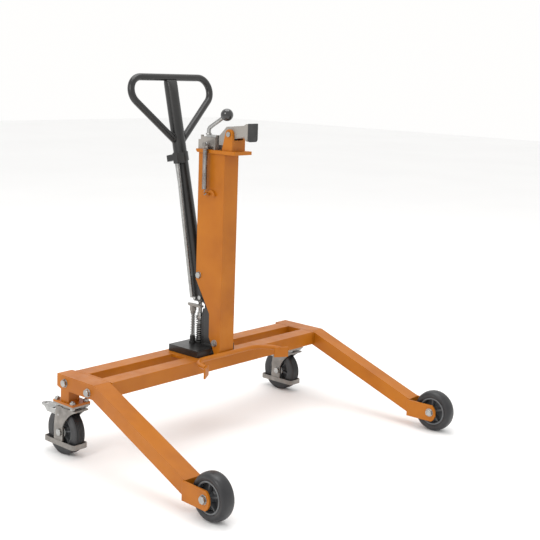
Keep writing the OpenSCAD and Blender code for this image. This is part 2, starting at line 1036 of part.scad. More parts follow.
module handle_tube() {
    foot = 48;
    flat = loop_d / 2;
    color(black)
        on_handle()
            difference() {
                intersection() {
                    translate([0, 0, foot])
                        cylinder(d = tube_d, h = tube_len);
                    slab_xz(-30, 30)
                        polygon([[-22, 0], [-22, loop_z - 55], [-flat, loop_z - 9], [-flat, loop_z],
                                 [flat, loop_z], [flat, loop_z - 9], [22, loop_z - 55], [22, 0]]);
                }
                translate([0, 0, foot + 5])
                    cylinder(d = tube_d - 5, h = tube_len - 75);
                rod_y([0, 0, loop_z], loop_d / 2, 60);
                translate([-30, -30, loop_z - 9])
                    cube(60);
            }
}

module hand_loop() {
    corner = 42;
    arm_y = loop_half - corner;
    foot_y = 16;
    foot_z = loop_z - 190;
    drop = loop_z - corner - foot_z;
    dist = sqrt(pow(arm_y - foot_y, 2) + pow(drop, 2));
    slope = atan2(drop, arm_y - foot_y);
    turn = slope + acos(corner / dist);
    strut = sqrt(dist * dist - corner * corner);
    color(black)
        on_handle() {
            rod_y([0, 0, loop_z], loop_d / 2, 2 * arm_y);
            both_sides() {
                translate([0, arm_y, loop_z - corner])
                    rotate([90, 0, 90])
                        rotate([0, 0, -180 + turn])
                            rotate_extrude(angle = 270 - turn, $fn = 96)
                                translate([corner, 0])
                                    circle(d = loop_d);
                difference() {
                    translate([0, arm_y + corner * cos(turn - 180),
                               loop_z - corner + corner * sin(turn - 180)])
                        rotate([turn, 0, 0])
                            cylinder(d = loop_d, h = strut);
                    translate([0, 0, foot_z - 60])
                        cylinder(d = tube_d, h = 160);
                }
            }
        }
}

// Two cheeks under the tube that carry the roller and turn on the pivot pin.
module handle_socket() {
    color(black)
        difference() {
            union() {
                for (s = [-1, 1])
                    slab_xz(s * 22.3 - 2, s * 22.3 + 2)
                        union() {
                            polygon([[roller_x - 9, roller_z], [roller_x - 22, pump_pin[2] + 57],
                                     [roller_x + 1, pump_pin[2] + 61], [pump_pin[0] + 11, pump_pin[2]],
                                     [pump_pin[0], pump_pin[2] - 11], [roller_x, roller_z - 9]]);
                            translate([pump_pin[0], pump_pin[2]])
                                circle(r = 11);
                            translate([roller_x, roller_z])
                                circle(r = 9);
                        }
                on_handle() {
                    translate([0, 0, 40])
                        cylinder(r = 20.3, h = 8);
                    translate([0, 0, 34])
                        intersection() {
                            cylinder(r = 20.3, h = 8);
                            translate([-30, -25, 0])
                                cube([60, 50, 8]);
                        }
                }
            }
            rod_y([pump_pin[0], 0, pump_pin[2]], 6 + run, 80);
            rod_y([roller_x, 0, roller_z], 4 + run, 80);
        }
}

module pump_roller() {
    color(zinc) {
        rod_y([roller_x, 0, roller_z], roller_r, 16);
        rod_y([roller_x, 0, roller_z], 4, 52);
        rod_y([roller_x, -26, roller_z], 6, 3);
        rod_y([roller_x, 26, roller_z], 6, 3);
    }
}

// Sliding collar with a thumb tab and the rod's lug.
module release_collar() {
    z = 402;
    color(black)
        on_handle()
            difference() {
                union() {
                    translate([0, 0, z])
                        cylinder(r = tube_d / 2 + 3, h = 27);
                    translate([-52, -9, z + 6])
                        cube([34, 18, 19]);
                    translate([9, rod_at - 7, z - 8])
                        cube([18, 29, 30]);
                }
                translate([0, 0, z - 20])
                    cylinder(r = tube_d / 2 + run, h = 60);
            }
}

module release_rod() {
    top = 393.8;
    low = -3;
    back = 2.84;
    color(cast_grey)
        on_handle()
            translate([17.7, rod_at, top])
                rotate([0, 180 + back, 0])
                    cylinder(d = rod_d, h = top - low);
}

// ---------- build ----------

crossbeam(beam_mid_f);  // front_crossbeam
crossbeam(beam_mid_r);  // rear_crossbeam
frame_plates();
side(true) arm();  // left_arm
side(false) arm();  // right_arm
fork_plates();
caster_posts();
arm_bolts();
caster_bolts();
pump_base();
inner_mast();
lift_cylinder();
pump_body();
pump_spring();
pump_plunger();
release_lever();
release_spring();
pump_yoke();
handle_pin();
front_axles();
caster_heads();
side(true) swivel_fork();  // left_swivel_fork
side(true) toe_guard();  // left_toe_guard
side(true) caster_axle();  // left_caster_axle
side(true) caster_tyre();  // left_caster_tyre
side(true) caster_hub();  // left_caster_hub
side(true) brake_pedal();  // left_brake_pedal
side(false) swivel_fork();  // right_swivel_fork
side(false) toe_guard();  // right_toe_guard
side(false) caster_axle();  // right_caster_axle
side(false) caster_tyre();  // right_caster_tyre
side(false) caster_hub();  // right_caster_hub
side(false) brake_pedal();  // right_brake_pedal
side(true) front_tyre();  // left_front_tyre
side(true) front_hub();  // left_front_hub
side(false) front_tyre();  // right_front_tyre
side(false) front_hub();  // right_front_hub
column();
top_plate();
pivot_bracket();
cradle_bar();
cradle_pads();
guide_blocks();
guide_bolts();
spring_lug();
hook_spring();
ram();
clamp_housing();
beak_pin();
beak();
jaw_pad();
knob_lever();
ball_knob();
latch_pin();
handle_tube();
hand_loop();
handle_socket();
pump_roller();
release_collar();
release_rod();
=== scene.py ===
"""Drum truck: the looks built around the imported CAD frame. Blender 4.5, metres, row frame."""
import json
import math
import random

import bmesh
import bpy
from mathutils import Matrix, Vector


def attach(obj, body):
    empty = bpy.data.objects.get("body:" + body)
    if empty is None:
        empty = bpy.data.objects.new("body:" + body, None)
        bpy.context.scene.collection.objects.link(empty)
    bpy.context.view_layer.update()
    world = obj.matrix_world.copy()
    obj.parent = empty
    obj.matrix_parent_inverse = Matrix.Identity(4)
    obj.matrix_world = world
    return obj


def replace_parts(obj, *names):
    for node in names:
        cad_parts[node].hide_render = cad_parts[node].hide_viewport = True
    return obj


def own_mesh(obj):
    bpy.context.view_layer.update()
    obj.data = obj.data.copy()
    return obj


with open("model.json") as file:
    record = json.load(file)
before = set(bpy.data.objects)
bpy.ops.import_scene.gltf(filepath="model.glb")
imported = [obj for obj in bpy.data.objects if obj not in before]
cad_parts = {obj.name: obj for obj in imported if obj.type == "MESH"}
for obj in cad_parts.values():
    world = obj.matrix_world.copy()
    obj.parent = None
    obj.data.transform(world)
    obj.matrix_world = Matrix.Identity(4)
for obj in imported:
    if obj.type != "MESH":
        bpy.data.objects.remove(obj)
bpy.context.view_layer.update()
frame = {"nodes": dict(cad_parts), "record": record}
random.seed(11)
MM = 0.001
SIDES = (("left", 1), ("right", -1))
SPLAY = math.radians(3.2)           # outward splay of a leg
BEND_X = -0.128                     # where a leg starts
ARM_OUT = 0.468                     # outer face of an arm
AXLE_RUN = 0.442                    # from the bend to the front axle
FRONT_AXLE_Z = 0.0595               # radius of a front wheel
CASTER_X = -0.251                   # swivel axis of a caster
CASTER_AXLE = (-0.273, 0.444, 0.0635)   # middle of the left caster's wheel


# ---------- camera ----------

def make_camera():
    azimuth, elevation, roll = (math.radians(a) for a in (48.22, 6.44, 1.83))
    out = Vector((math.cos(elevation) * math.cos(azimuth),
                  -math.cos(elevation) * math.sin(azimuth), math.sin(elevation)))
    right = (-out).cross(Vector((0, 0, 1))).normalized()
    up = right.cross(-out)
    x = right * math.cos(roll) + up * math.sin(roll)
    y = up * math.cos(roll) - right * math.sin(roll)
    data = bpy.data.cameras.new("photo_camera")
    data.sensor_width = 36.0
    data.lens = 71.22
    data.shift_x = 0.0032
    data.shift_y = -0.1497
    data.clip_end = 60.0
    cam = bpy.data.objects.new("photo_camera", data)
    bpy.context.collection.objects.link(cam)
    turn = Matrix((x, y, out)).transposed().to_4x4()
    cam.matrix_world = Matrix.Translation((1.9945, -2.1892, 1.0576)) @ turn
    bpy.context.scene.camera = cam


# ---------- materials ----------

class Nodes:
    """Small helper to write a node tree line by line."""

    def __init__(self, name):
        self.mat = bpy.data.materials.new(name)
        self.mat.use_nodes = True
        self.tree = self.mat.node_tree
        self.tree.nodes.clear()
        self.shader = self.add("ShaderNodeBsdfPrincipled")
        out = self.add("ShaderNodeOutputMaterial")
        self.link(self.shader.outputs[0], out.inputs["Surface"])
        self.place = self.add("ShaderNodeTexCoord").outputs["Object"]

    def add(self, kind, **values):
        node = self.tree.nodes.new(kind)
        for key, value in values.items():
            setattr(node, key, value)
        return node

    def link(self, a, b):
        self.tree.links.new(a, b)

    def set(self, **values):
        for key, value in values.items():
            self.shader.inputs[key.replace("_", " ")].default_value = value

    def noise(self, scale, detail=4.0, rough=0.55, stretch=None, distort=0.0):
        node = self.add("ShaderNodeTexNoise")
        node.inputs["Scale"].default_value = scale
        node.inputs["Detail"].default_value = detail
        node.inputs["Roughness"].default_value = rough
        node.inputs["Distortion"].default_value = distort
        if stretch:
            mapping = self.add("ShaderNodeMapping")
            mapping.inputs["Scale"].default_value = stretch
            self.link(self.place, mapping.inputs["Vector"])
            self.link(mapping.outputs[0], node.inputs["Vector"])
        else:
            self.link(self.place, node.inputs["Vector"])
        return node.outputs["Fac"]

    def ramp(self, fac, stops):
        node = self.add("ShaderNodeValToRGB")
        while len(node.color_ramp.elements) < len(stops):
            node.color_ramp.elements.new(0.5)
        for element, (at, value) in zip(node.color_ramp.elements, stops):
            element.position = at
            element.color = (*value, 1.0) if isinstance(value, tuple) else (value, value, value, 1.0)
        self.link(fac, node.inputs["Fac"])
        return node.outputs["Color"]

    def mix(self, fac, a, b, blend="MIX"):
        node = self.add("ShaderNodeMix", data_type="RGBA", blend_type=blend)
        for socket, value in ((node.inputs["Factor"], fac), (node.inputs["A"], a), (node.inputs["B"], b)):
            if isinstance(value, (int, float)):
                socket.default_value = value if socket.name == "Factor" else (value, value, value, 1.0)
            elif isinstance(value, tuple):
                socket.default_value = (*value, 1.0)
            else:
                self.link(value, socket)
        return node.outputs["Result"]

    def worn_edges(self, low=0.52, high=0.60):
        """Bright along outer edges, dark elsewhere."""
        geometry = self.add("ShaderNodeNewGeometry")
        return self.ramp(geometry.outputs["Pointiness"], [(low, 0.0), (high, 1.0)])

    def bump(self, height, strength, depth, under=None):
        node = self.add("ShaderNodeBump")
        node.inputs["Strength"].default_value = strength
        node.inputs["Distance"].default_value = depth
        self.link(height, node.inputs["Height"])
        if under:
            self.link(under, node.inputs["Normal"])
        self.link(node.outputs[0], self.shader.inputs["Normal"])
        return node.outputs[0]


def powder_coat(name, base, dark, light, roughness, peel=0.25, coat=0.0, shine=0.5):
    """Powder coat: a faint orange peel, slow colour drift, handling scuffs."""
    m = Nodes(name)
    drift = m.ramp(m.noise(7.0, 3.0), [(0.35, dark), (0.5, base), (0.68, light)])
    scuffs = m.ramp(m.noise(34.0, 8.0, 0.75, stretch=(1.0, 1.0, 0.35)), [(0.66, 0.0), (0.76, 1.0)])
    colour = m.mix(m.ramp(scuffs, [(0.0, 0.0), (1.0, 0.18)]), drift, dark)
    m.link(colour, m.shader.inputs["Base Color"])
    m.link(m.ramp(m.noise(26.0, 6.0, 0.7), [(0.3, roughness * 0.8), (0.75, roughness * 1.35)]),
           m.shader.inputs["Roughness"])
    m.set(Coat_Weight=coat, Coat_Roughness=0.12, IOR=1.5, Specular_IOR_Level=shine)
    peel_bump = m.bump(m.noise(420.0, 2.0), peel, 0.00006)
    m.bump(m.noise(18.0, 2.0), 0.12, 0.0006, peel_bump)
    return m.mat


def bright_metal(name, base, roughness, tint, grain=(1.0, 1.0, 1.0)):
    """Zinc plate: milky patches, fine brushing and grey handling marks."""
    m = Nodes(name)
    dull = tuple(c * 0.72 for c in base)
    patches = m.ramp(m.noise(60.0, 5.0, 0.65), [(0.3, dull), (0.6, base), (0.8, tint)])
    m.link(patches, m.shader.inputs["Base Color"])
    m.set(Metallic=1.0)
    m.link(m.ramp(m.noise(120.0, 4.0, 0.7, stretch=grain), [(0.3, roughness * 0.7), (0.7, roughness * 1.5)]),
           m.shader.inputs["Roughness"])
    m.bump(m.noise(900.0, 3.0, stretch=grain), 0.22, 0.00004)
    return m.mat


def sand_cast(name, base, dark, light, roughness):
    """Grey painted casting: pebbled skin, rubbed edges."""
    m = Nodes(name)
    colour = m.ramp(m.noise(40.0, 6.0, 0.6), [(0.3, dark), (0.52, base), (0.75, light)])
    colour = m.mix(m.worn_edges(), colour, light)
    m.link(colour, m.shader.inputs["Base Color"])
    m.set(Metallic=0.35)
    m.link(m.ramp(m.noise(70.0, 5.0), [(0.3, roughness * 0.8), (0.7, roughness * 1.3)]),
           m.shader.inputs["Roughness"])
    m.bump(m.noise(380.0, 4.0, 0.6), 0.5, 0.00018)
    return m.mat


def tyre_rubber(name, base, dusty, roughness=0.42):
    m = Nodes(name)
    dust = m.ramp(m.noise(30.0, 7.0, 0.7), [(0.45, 0.0), (0.8, 0.5)])
    m.link(m.mix(dust, base, dusty), m.shader.inputs["Base Color"])
    m.link(m.ramp(m.noise(55.0, 5.0, 0.6), [(0.3, roughness * 0.8), (0.75, roughness * 1.5)]),
           m.shader.inputs["Roughness"])
    m.set(Specular_IOR_Level=0.5)
    m.bump(m.noise(520.0, 3.0, 0.6), 0.35, 0.00012)
    return m.mat


def moulded(name, base, light, roughness, bump=0.3, coat=0.0):
    m = Nodes(name)
    m.link(m.ramp(m.noise(45.0, 4.0), [(0.35, base), (0.75, light)]), m.shader.inputs["Base Color"])
    m.link(m.ramp(m.noise(90.0, 4.0), [(0.3, roughness * 0.85), (0.7, roughness * 1.2)]),
           m.shader.inputs["Roughness"])
    m.set(Coat_Weight=coat, Coat_Roughness=0.05)
    m.bump(m.noise(700.0, 2.0), bump, 0.00005)
    return m.mat


def weld_metal(name, base, dark):
    m = Nodes(name)
    m.link(m.ramp(m.noise(260.0, 3.0), [(0.3, dark), (0.7, base)]), m.shader.inputs["Base Color"])
    m.set(Roughness=0.34)
    m.bump(m.noise(500.0, 2.0), 0.4, 0.00015)
    return m.mat


ORANGE = (0.40, 0.121, 0.0025)
MATS = {
    "orange": powder_coat("orange_powder_coat", ORANGE, (0.35, 0.101, 0.0020), (0.44, 0.140, 0.0045), 0.40,
                          coat=0.04, shine=0.28),
    "black_paint": powder_coat("black_powder_coat", (0.010, 0.0095, 0.009), (0.006, 0.006, 0.006),
                               (0.016, 0.015, 0.014), 0.32, coat=0.12),
    "zinc": bright_metal("bright_zinc", (0.42, 0.42, 0.41), 0.27, (0.58, 0.57, 0.55)),
    "spring_steel": bright_metal("spring_wire", (0.34, 0.335, 0.33), 0.30, (0.46, 0.455, 0.44)),
    "grey_cast": sand_cast("grey_casting", (0.21, 0.195, 0.18), (0.14, 0.13, 0.12),
                           (0.32, 0.30, 0.275), 0.45),
    "dark_steel": bright_metal("blackened_steel", (0.10, 0.10, 0.10), 0.40, (0.16, 0.16, 0.15)),
    "tyre_rubber": tyre_rubber("tyre_rubber", (0.014, 0.014, 0.016), (0.045, 0.044, 0.043), 0.36),
    "jaw_rubber": tyre_rubber("jaw_rubber", (0.030, 0.029, 0.029), (0.06, 0.058, 0.055), 0.6),
    "hub_plastic": moulded("hub_plastic", (0.050, 0.052, 0.055), (0.075, 0.077, 0.080), 0.45),
    "rim_plastic": moulded("rim_plastic", (0.10, 0.105, 0.11), (0.14, 0.145, 0.15), 0.42),
    "knob_plastic": moulded("knob_plastic", (0.010, 0.010, 0.011), (0.014, 0.014, 0.015), 0.12, 0.05, 0.6),
    "orange_weld": weld_metal("orange_weld", (0.40, 0.12, 0.004), (0.30, 0.085, 0.003)),
    "black_weld": weld_metal("black_weld", (0.020, 0.019, 0.019), (0.010, 0.010, 0.010)),
}


# ---------- mesh helpers ----------

def make_object(name, bm, mats, body, smooth=True, angle=35.0, weighted=True):
    mesh = bpy.data.meshes.new(name)
    bmesh.ops.recalc_face_normals(bm, faces=bm.faces[:])
    bm.to_mesh(mesh)
    bm.free()
    for mat in ([mats] if isinstance(mats, str) else mats):
        mesh.materials.append(MATS[mat])
    obj = bpy.data.objects.new(name, mesh)
    bpy.context.collection.objects.link(obj)
    if smooth:
        mesh.polygons.foreach_set("use_smooth", [True] * len(mesh.polygons))
        mesh.set_sharp_from_angle(angle=math.radians(angle))
    if weighted:
        mod = obj.modifiers.new("even_normals", "WEIGHTED_NORMAL")
        mod.keep_sharp = True
        mod.weight = 90
    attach(obj, body)
    return obj


def body_of_node(node):
    for body, nodes in frame["record"]["behaviour"]["bodies"].items():
        if node in nodes:
            return body
    raise KeyError(node)


def slot_of_node(node):
    for part in frame["record"]["subparts"]:
        if part["node"] == node:
            return part["material_slot"]
    raise KeyError(node)


def softened(node, width, segments=2, mats=None, angle=28.0):
    """A copy of a CAD node with every sharp edge rounded; it stands for the node."""
    bm = bmesh.new()
    bm.from_mesh(frame["nodes"][node].data)
    bmesh.ops.remove_doubles(bm, verts=bm.verts[:], dist=2e-6)
    bmesh.ops.dissolve_limit(bm, angle_limit=math.radians(0.6), verts=bm.verts[:], edges=bm.edges[:])
    sharp = [e for e in bm.edges if len(e.link_faces) == 2 and e.calc_face_angle() > math.radians(angle)]
    bmesh.ops.bevel(bm, geom=sharp, offset=width * MM, segments=segments, profile=0.55,
                    affect="EDGES", clamp_overlap=True, loop_slide=True)
    obj = make_object("soft_" + node, bm, mats or slot_of_node(node), body_of_node(node))
    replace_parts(obj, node)
    return obj


def repaint(*nodes, mat=None):
    """Gives CAD nodes their finished material."""
    for node in nodes:
        data = frame["nodes"][node].data
        data.materials.clear()
        data.materials.append(MATS[mat or slot_of_node(node)])


# ---------- floor and light ----------

def make_stage():
    bm = bmesh.new()
    bmesh.ops.create_grid(bm, x_segments=1, y_segments=1, size=14.0)
    mesh = bpy.data.meshes.new("floor")
    bm.to_mesh(mesh)
    bm.free()
    floor = bpy.data.objects.new("floor", mesh)
    bpy.context.collection.objects.link(floor)
    m = Nodes("studio_floor")
    m.link(m.ramp(m.noise(0.8, 2.0), [(0.3, 0.93), (0.7, 0.95)]), m.shader.inputs["Base Color"])
    m.set(Roughness=0.9)
    mesh.materials.append(m.mat)

    world = bpy.data.worlds.new("studio")
    bpy.context.scene.world = world
    world.use_nodes = True
    back = world.node_tree.nodes["Background"]
    back.inputs["Color"].default_value = (1.0, 0.995, 0.985, 1.0)
    back.inputs["Strength"].default_value = 1.0


def area_light(name, at, aim, size, power, colour=(1.0, 1.0, 1.0)):
    data = bpy.data.lights.new(name, "AREA")
    data.shape = "RECTANGLE"
    data.size, data.size_y = size
    data.energy = power
    data.color = colour
    lamp = bpy.data.objects.new(name, data)
    bpy.context.collection.objects.link(lamp)
    lamp.location = at
    lamp.rotation_euler = (Vector(aim) - Vector(at)).to_track_quat("-Z", "Y").to_euler()


# ---------- swept and turned shapes ----------

def sweep(bm, points, radius, sides=20, closed_ends=True, radii=None):
    """A round tube along a path, with frames carried along it so that it never twists."""
    points = [Vector(p) for p in points]
    tangents = []
    for i, p in enumerate(points):
        ahead = points[min(i + 1, len(points) - 1)]
        behind = points[max(i - 1, 0)]
        tangents.append((ahead - behind).normalized())
    side = tangents[0].orthogonal().normalized()
    rings = []
    for i, (p, t) in enumerate(zip(points, tangents)):
        side = (side - t * side.dot(t)).normalized()
        other = t.cross(side)
        r = radii[i] if radii else radius
        rings.append([bm.verts.new(p + (side * math.cos(a) + other * math.sin(a)) * r)
                      for a in (2 * math.pi * k / sides for k in range(sides))])
    for a, b in zip(rings, rings[1:]):
        for k in range(sides):
            bm.faces.new((a[k], a[(k + 1) % sides], b[(k + 1) % sides], b[k]))
    if closed_ends:
        bm.faces.new(list(reversed(rings[0])))
        bm.faces.new(rings[-1])
    return rings


def turned(bm, profile, place, segments=96):
    """A solid of revolution: (radius, along) pairs round the local Z of the matrix place."""
    rings = []
    for r, z in profile:
        if r < 1e-7:
            rings.append([bm.verts.new(place @ Vector((0, 0, z)))])
        else:
            rings.append([bm.verts.new(place @ Vector((r * math.cos(a), r * math.sin(a), z)))
                          for a in (2 * math.pi * k / segments for k in range(segments))])
    for a, b in zip(rings, rings[1:]):
        for k in range(segments):
            n = (k + 1) % segments
            if len(a) == 1 and len(b) == 1:
                continue
            if len(a) == 1:
                bm.faces.new((a[0], b[n], b[k]))
            elif len(b) == 1:
                bm.faces.new((a[k], a[n], b[0]))
            else:
                bm.faces.new((a[k], a[n], b[n], b[k]))
    return rings


def along(origin, direction):
    """A matrix at origin whose Z points along direction."""
    turn = Vector(direction).normalized().to_track_quat("Z", "Y").to_matrix().to_4x4()
    return Matrix.Translation(origin) @ turn


def box(bm, lo, hi, place=Matrix.Identity(4)):
    corners = [place @ Vector((x, y, z)) for x in (lo[0], hi[0]) for y in (lo[1], hi[1])
               for z in (lo[2], hi[2])]
    v = [bm.verts.new(c) for c in corners]
    for quad in ((0, 1, 3, 2), (4, 6, 7, 5), (0, 4, 5, 1), (2, 3, 7, 6), (0, 2, 6, 4), (1, 5, 7, 3)):
        bm.faces.new([v[i] for i in quad])


def bevel_sharp(bm, width, segments=2, angle=30.0):
    sharp = [e for e in bm.edges if len(e.link_faces) == 2 and e.calc_face_angle() > math.radians(angle)]
    bmesh.ops.bevel(bm, geom=sharp, offset=width, segments=segments, profile=0.55, affect="EDGES",
                    clamp_overlap=True)


def smooth_profile(points, rounds=2):
    """Corner-cutting on an open profile, which keeps its end points."""
    for _ in range(rounds):
        out = [points[0]]
        for a, b in zip(points, points[1:]):
            out.append((a[0] * 0.75 + b[0] * 0.25, a[1] * 0.75 + b[1] * 0.25))
            out.append((a[0] * 0.25 + b[0] * 0.75, a[1] * 0.25 + b[1] * 0.75))
        out.append(points[-1])
        points = out
    return points


# ---------- fasteners ----------

def hex_head(bm, at, out, flats, height, spin=0.0):
    """A hexagon head with a chamfered crown and a shallow dish, standing on at."""
    place = along(at, out) @ Matrix.Rotation(spin, 4, "Z")
    corner = flats / math.sqrt(3.0)
    levels = ((corner * 0.97, 0.0), (corner, height * 0.05), (corner, height * 0.72),
              (corner * 0.95, height * 0.88), (corner * 0.80, height), (corner * 0.70, height),
              (corner * 0.62, height * 0.93))
    rings = []
    for level, (r, z) in enumerate(levels):
        flat = 6 if level < 3 else 1000
        ring = []
        for k in range(36):
            a = 2 * math.pi * k / 36
            hexed = corner * math.cos(math.pi / 6) / math.cos((a + math.pi / 6) % (math.pi / 3) - math.pi / 6)
            q = min(hexed, r) if level >= 3 else hexed * r / corner
            ring.append(bm.verts.new(place @ Vector((q * math.cos(a), q * math.sin(a), z))))
        rings.append(ring)
    for a, b in zip(rings, rings[1:]):
        for k in range(36):
            bm.faces.new((a[k], a[(k + 1) % 36], b[(k + 1) % 36], b[k]))
    bm.faces.new(rings[-1])
    bm.faces.new(list(reversed(rings[0])))


def washer(bm, at, out, radius, thick, hole=0.0):
    e = min(0.0003, thick * 0.3)
    turned(bm, [(hole, 0.0), (radius, 0.0), (radius, thick - e), (radius - e, thick), (hole, thick)],
           along(at, out), 48)


def thread_end(bm, at, out, radius, length, pitch=0.00125):
    """A threaded stud end with a chamfered tip."""
    profile = [(0.0, 0.0), (radius * 0.9, 0.0)]
    turns = int(length / pitch)
    for i in range(turns):
        profile += [(radius, (i + 0.35) * pitch), (radius * 0.90, (i + 0.85) * pitch)]
    profile += [(radius * 0.80, length), (0.0, length)]
    turned(bm, profile, along(at, out), 32)


def shaft(bm, a, b, radius, chamfer=0.0005):
    a, b = Vector(a), Vector(b)
    length = (b - a).length
    turned(bm, [(0.0, 0.0), (radius - chamfer, 0.0), (radius, chamfer), (radius, length - chamfer),
                (radius - chamfer, length), (0.0, length)], along(a, b - a), 40)


def weld_bead(bm, points, radius=0.0022, ripple=0.16):
    """A rippled bead along a path of close points."""
    dense = []
    for a, b in zip(points, points[1:]):
        a, b = Vector(a), Vector(b)
        steps = max(2, int((b - a).length / 0.0012))
        dense += [a.lerp(b, i / steps) for i in range(steps)]
    dense.append(Vector(points[-1]))
    radii = [radius * (1.0 + ripple * math.sin(i * 1.9) + random.uniform(-0.05, 0.05))
             for i in range(len(dense))]
    radii[0] = radii[-1] = radius * 0.5
    sweep(bm, dense, radius, 10, radii=radii)


# ---------- handle frame ----------

LEAN = math.radians(13.5)
HANDLE_FOOT = Vector((-0.2175, 0.0, 0.385))
LOOP_Z = 0.655
TUBE_R = 0.020


def on_handle(x, y, z):
    """A point given across, sideways and along the leaning handle."""
    return HANDLE_FOOT + Vector((x * math.cos(LEAN) - z * math.sin(LEAN), y,
                                 x * math.sin(LEAN) + z * math.cos(LEAN)))


def build_hand_loop():
    r, corner, half, foot = 0.0105, 0.042, 0.158, (0.016, LOOP_Z - 0.190)
    cy, cz = half - corner, LOOP_Z - corner
    drop, reach = cz - foot[1], cy - foot[0]
    turn = math.atan2(drop, reach) + math.acos(corner / math.hypot(drop, reach)) - math.pi
    left = [(foot[0], foot[1])]
    left += [(cy + corner * math.cos(a), cz + corner * math.sin(a))
             for a in (turn + (math.pi / 2 - turn) * i / 28 for i in range(29))]
    outline = left + [(-y, z) for y, z in reversed(left)]
    bm = bmesh.new()
    sweep(bm, [on_handle(0, y, z) for y, z in outline], r, 28)
    obj = make_object("hand_loop_tube", bm, "black_paint", "handle")
    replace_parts(obj, "hand_loop")
    bm = bmesh.new()
    for s in (1, -1):
        ring = []
        for i in range(25):
            a = 2 * math.pi * i / 24
            y = s * (TUBE_R - 0.0006 + 0.004 * math.cos(a))
            ring.append(on_handle(0.0112 * math.sin(a), y, foot[1] + 0.009 + 0.0125 * math.cos(a)))
        weld_bead(bm, ring, 0.0016)
    for s in (1, -1):
        weld_bead(bm, [on_handle(s * 0.0085 * math.cos(a), TUBE_R * math.sin(a) * 0.98,
                                 LOOP_Z - 0.0105 - 0.0010)
                       for a in (math.pi * (i / 20 - 0.5) for i in range(21))], 0.0015)
    make_object("hand_loop_welds", bm, "black_weld", "handle")


def build_handle_tube():
    bm = bmesh.new()
    low, high = 0.048, LOOP_Z
    rows = 40
    sides = 72
    rings = []
    for i in range(rows + 1):
        z = low + (high - low) * i / rows
        ring = []
        for k in range(sides):
            a = 2 * math.pi * k / sides
            depth = min(TUBE_R, 0.022 - 0.25 * max(0.0, z - (LOOP_Z - 0.055)))
            x = max(-depth, min(depth, TUBE_R * math.cos(a)))
            y = TUBE_R * math.sin(a)
            top = LOOP_Z - math.sqrt(max(0.0, 0.0105 ** 2 - min(abs(x), 0.0105) ** 2))
            top = min(top, LOOP_Z - 0.009) if abs(x) > 0.0056 else top
            ring.append(bm.verts.new(on_handle(x, y, min(z, top))))
        rings.append(ring)
    for a, b in zip(rings, rings[1:]):
        for k in range(sides):
            bm.faces.new((a[k], a[(k + 1) % sides], b[(k + 1) % sides], b[k]))
    bm.faces.new(list(reversed(rings[0])))
    bm.faces.new(rings[-1])
    bmesh.ops.remove_doubles(bm, verts=bm.verts[:], dist=1e-6)
    obj = make_object("handle_tube_skin", bm, "black_paint", "handle", weighted=False)
    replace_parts(obj, "handle_tube")


def build_release_rod():
    bm = bmesh.new()
    back = math.radians(2.84)
    top = Vector((0.0177, -0.034, 0.3938))

    def down(d):
        return on_handle(top.x - d * math.sin(back), top.y, top.z - d * math.cos(back))

    turned(bm, [(0, 0), (0.0044, 0), (0.00525, 0.001), (0.00525, 0.3905), (0.0044, 0.3962), (0.0, 0.3968)],
           along(down(0.0), down(0.4) - down(0.0)), 40)
    obj = make_object("release_rod_bar", bm, "zinc", "release_collar")
    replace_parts(obj, "release_rod")


# ---------- springs ----------

def helix(centre, radius, wire, z0, z1, turns, sides=12, steps=28, flat_ends=0.75):
    """Centre line of a compression spring whose end turns lie flat."""
    points = []
    n = int(turns * steps)
    for i in range(n + 1):
        t = i / steps
        u = min(max((t - flat_ends) / (turns - 2 * flat_ends), 0.0), 1.0)
        z = z0 + wire / 2 + (z1 - z0 - wire) * (u * 0.94 + 0.03 * min(t / flat_ends, 1.0)
                                               + 0.03 * max(0.0, (t - turns + flat_ends) / flat_ends))
        a = 2 * math.pi * t
        points.append((centre[0] + radius * math.cos(a), centre[1] + radius * math.sin(a), z))
    return points


def build_springs():
    bm = bmesh.new()
    sweep(bm, helix((-0.2165, 0.0), 0.0108, 0.003, 0.2505, 0.3165, 10.5), 0.0015, 12)
    obj = make_object("pump_spring_coil", bm, "spring_steel", "frame", weighted=False)
    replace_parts(obj, "pump_spring")
    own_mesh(obj)
    bm = bmesh.new()
    sweep(bm, helix((-0.224, -0.022), 0.0066, 0.002, 0.2664, 0.3338, 14.0), 0.001, 10)
    obj = make_object("release_spring_coil", bm, "spring_steel", "frame", weighted=False)
    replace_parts(obj, "release_spring")
    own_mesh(obj)


def build_hook_spring():
    bm = bmesh.new()
    x, y, low, high = -0.168, -0.0436, 0.7085, 0.8235
    wire, radius = 0.0028, 0.0060
    turns = (high - low) / (wire * 1.08)
    steps = 20
    path = [(-0.166 + 0.0042 * math.cos(a), y, 0.697 + 0.0042 * math.sin(a))
            for a in (math.radians(20 - 200 * i / 12) for i in range(13))]
    path.append((x - 0.001, y + 0.003, low - 0.003))
    n = int(turns * steps)
    for i in range(n + 1):
        a = 2 * math.pi * i / steps + math.pi / 2
        path.append((x + radius * math.cos(a), y + radius * math.sin(a), low + (high - low) * i / n))
    path.append((x - 0.004, y + 0.001, high + 0.004))
    path += [(x + 0.0060 * math.cos(a), y, 0.837 + 0.0060 * math.sin(a))
             for a in (math.radians(190 - 230 * i / 14) for i in range(15))]
    sweep(bm, path, wire / 2, 8)
    obj = make_object("hook_spring_coil", bm, "spring_steel", "carriage", weighted=False)
    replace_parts(obj, "hook_spring")


# ---------- wheels ----------

def ring_profile(bm, profile, place, segments=128):
    """A closed ring of revolution."""
    rings = turned(bm, profile, place, segments)
    a, b = rings[-1], rings[0]
    for k in range(segments):
        n = (k + 1) % segments
        bm.faces.new((a[k], a[n], b[n], b[k]))


def both_ways(half):
    """Half a tyre section, from the bead to the crown, made whole."""
    return [(r, -z) for r, z in half] + [(r, z) for r, z in reversed(half)]


